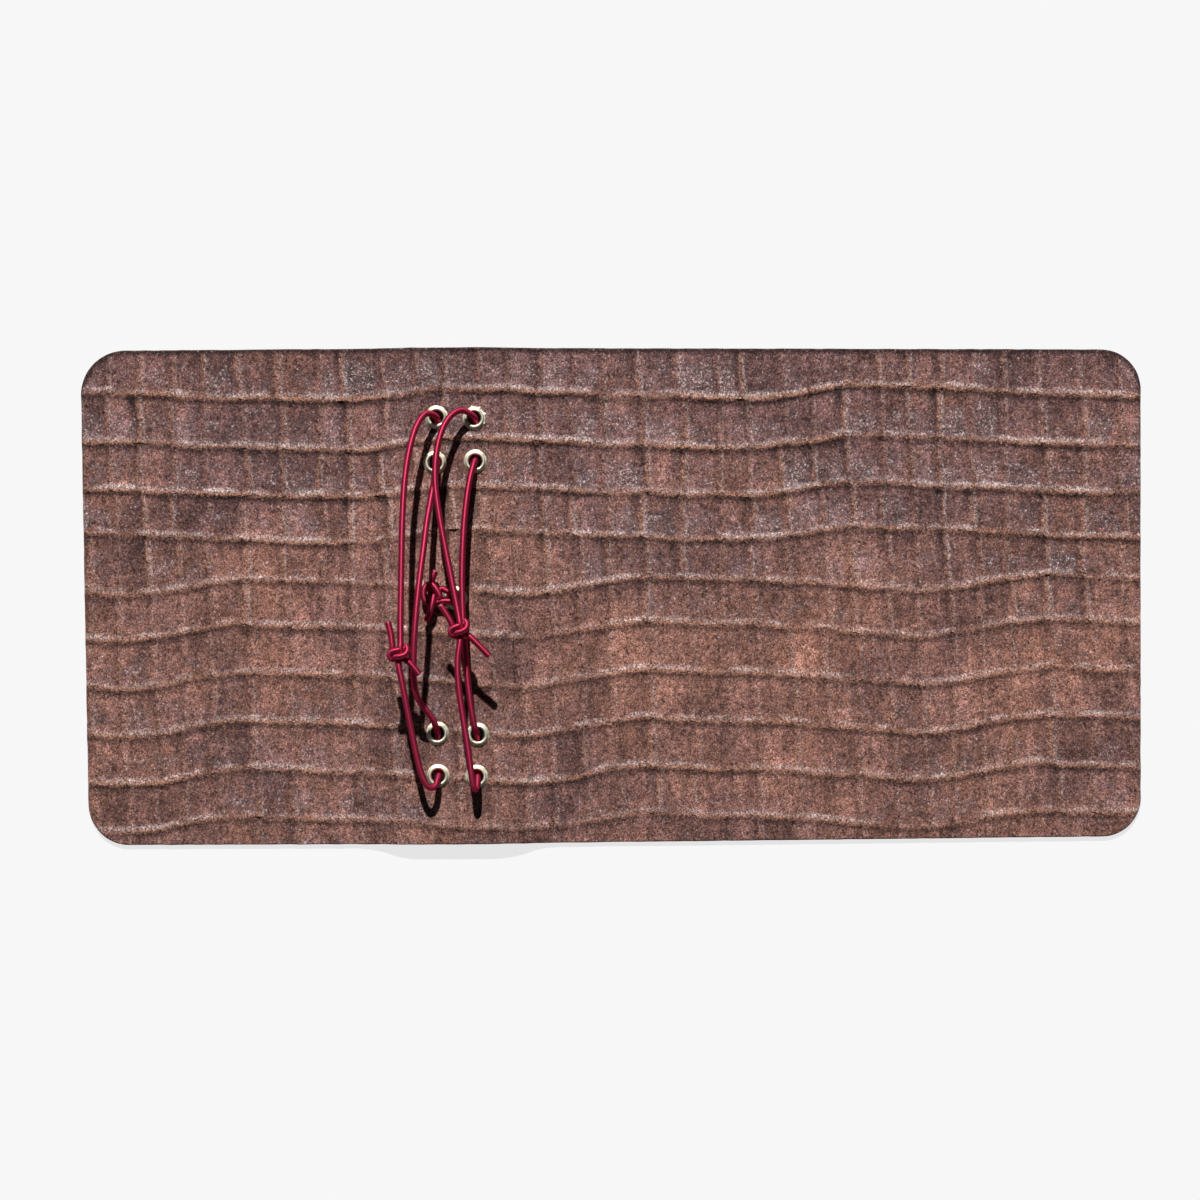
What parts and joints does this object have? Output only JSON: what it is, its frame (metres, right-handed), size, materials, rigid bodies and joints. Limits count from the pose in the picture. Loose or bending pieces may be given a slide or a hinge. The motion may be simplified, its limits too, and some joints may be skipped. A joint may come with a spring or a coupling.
{
  "type": "scrapbook album cover",
  "caption": "Open wrap-around album cover in croc-embossed leather, lying flat inside up, with brass eyelets down the spine and knotted round elastic cords.",
  "frame": {"origin": "centre of the open cover's outline on the surface it lies on", "axes": "+X along the open cover from front cover to flap, +Y up the pages along the spine, +Z out of the inside face"},
  "size_m": [0.3349, 0.1572, 0.0311],
  "materials": {
    "leather": "suede",
    "eyelet": "polished",
    "washer": "satin",
    "cord": "satin woven sheath"
  },
  "bodies": {
    "spine_body": {"spine": "leather", "eyelet_left_1": "eyelet", "eyelet_left_2": "eyelet", "eyelet_left_3": "eyelet", "eyelet_left_4": "eyelet", "eyelet_right_1": "eyelet", "eyelet_right_2": "eyelet", "eyelet_right_3": "eyelet", "eyelet_right_4": "eyelet", "eyelet_middle": "eyelet", "washer_left_1": "washer", "washer_left_2": "washer", "washer_left_3": "washer", "washer_left_4": "washer", "washer_right_1": "washer", "washer_right_2": "washer", "washer_right_3": "washer", "washer_right_4": "washer", "washer_middle": "washer", "left_binding_cord": "cord", "right_binding_cord": "cord", "closure_cord": "cord", "left_knot": "cord", "right_knot": "cord", "closure_knot": "cord"},
    "front": {"front_cover": "leather"},
    "back": {"back_cover": "leather"},
    "fore": {"fore_edge": "leather"},
    "flap_body": {"flap": "leather"}
  },
  "joints": [
    {"name": "front_fold", "type": "hinge", "parent": "spine_body", "child": "front", "pos_m": [-0.0607, 0, 0.0053], "axis": [0, 1, 0], "range_deg": [0, 90], "deforming": ["left_binding_cord", "left_knot"]},
    {"name": "back_fold", "type": "hinge", "parent": "spine_body", "child": "back", "pos_m": [-0.0367, 0, 0.0053], "axis": [0, -1, 0], "range_deg": [0, 90]},
    {"name": "fore_edge_fold", "type": "hinge", "parent": "back", "child": "fore", "pos_m": [0.0743, 0, 0.0018], "axis": [0, -1, 0], "range_deg": [0, 90]},
    {"name": "flap_fold", "type": "hinge", "parent": "fore", "child": "flap_body", "pos_m": [0.1088, 0, 0.0018], "axis": [0, -1, 0], "range_deg": [0, 90]}
  ]
}
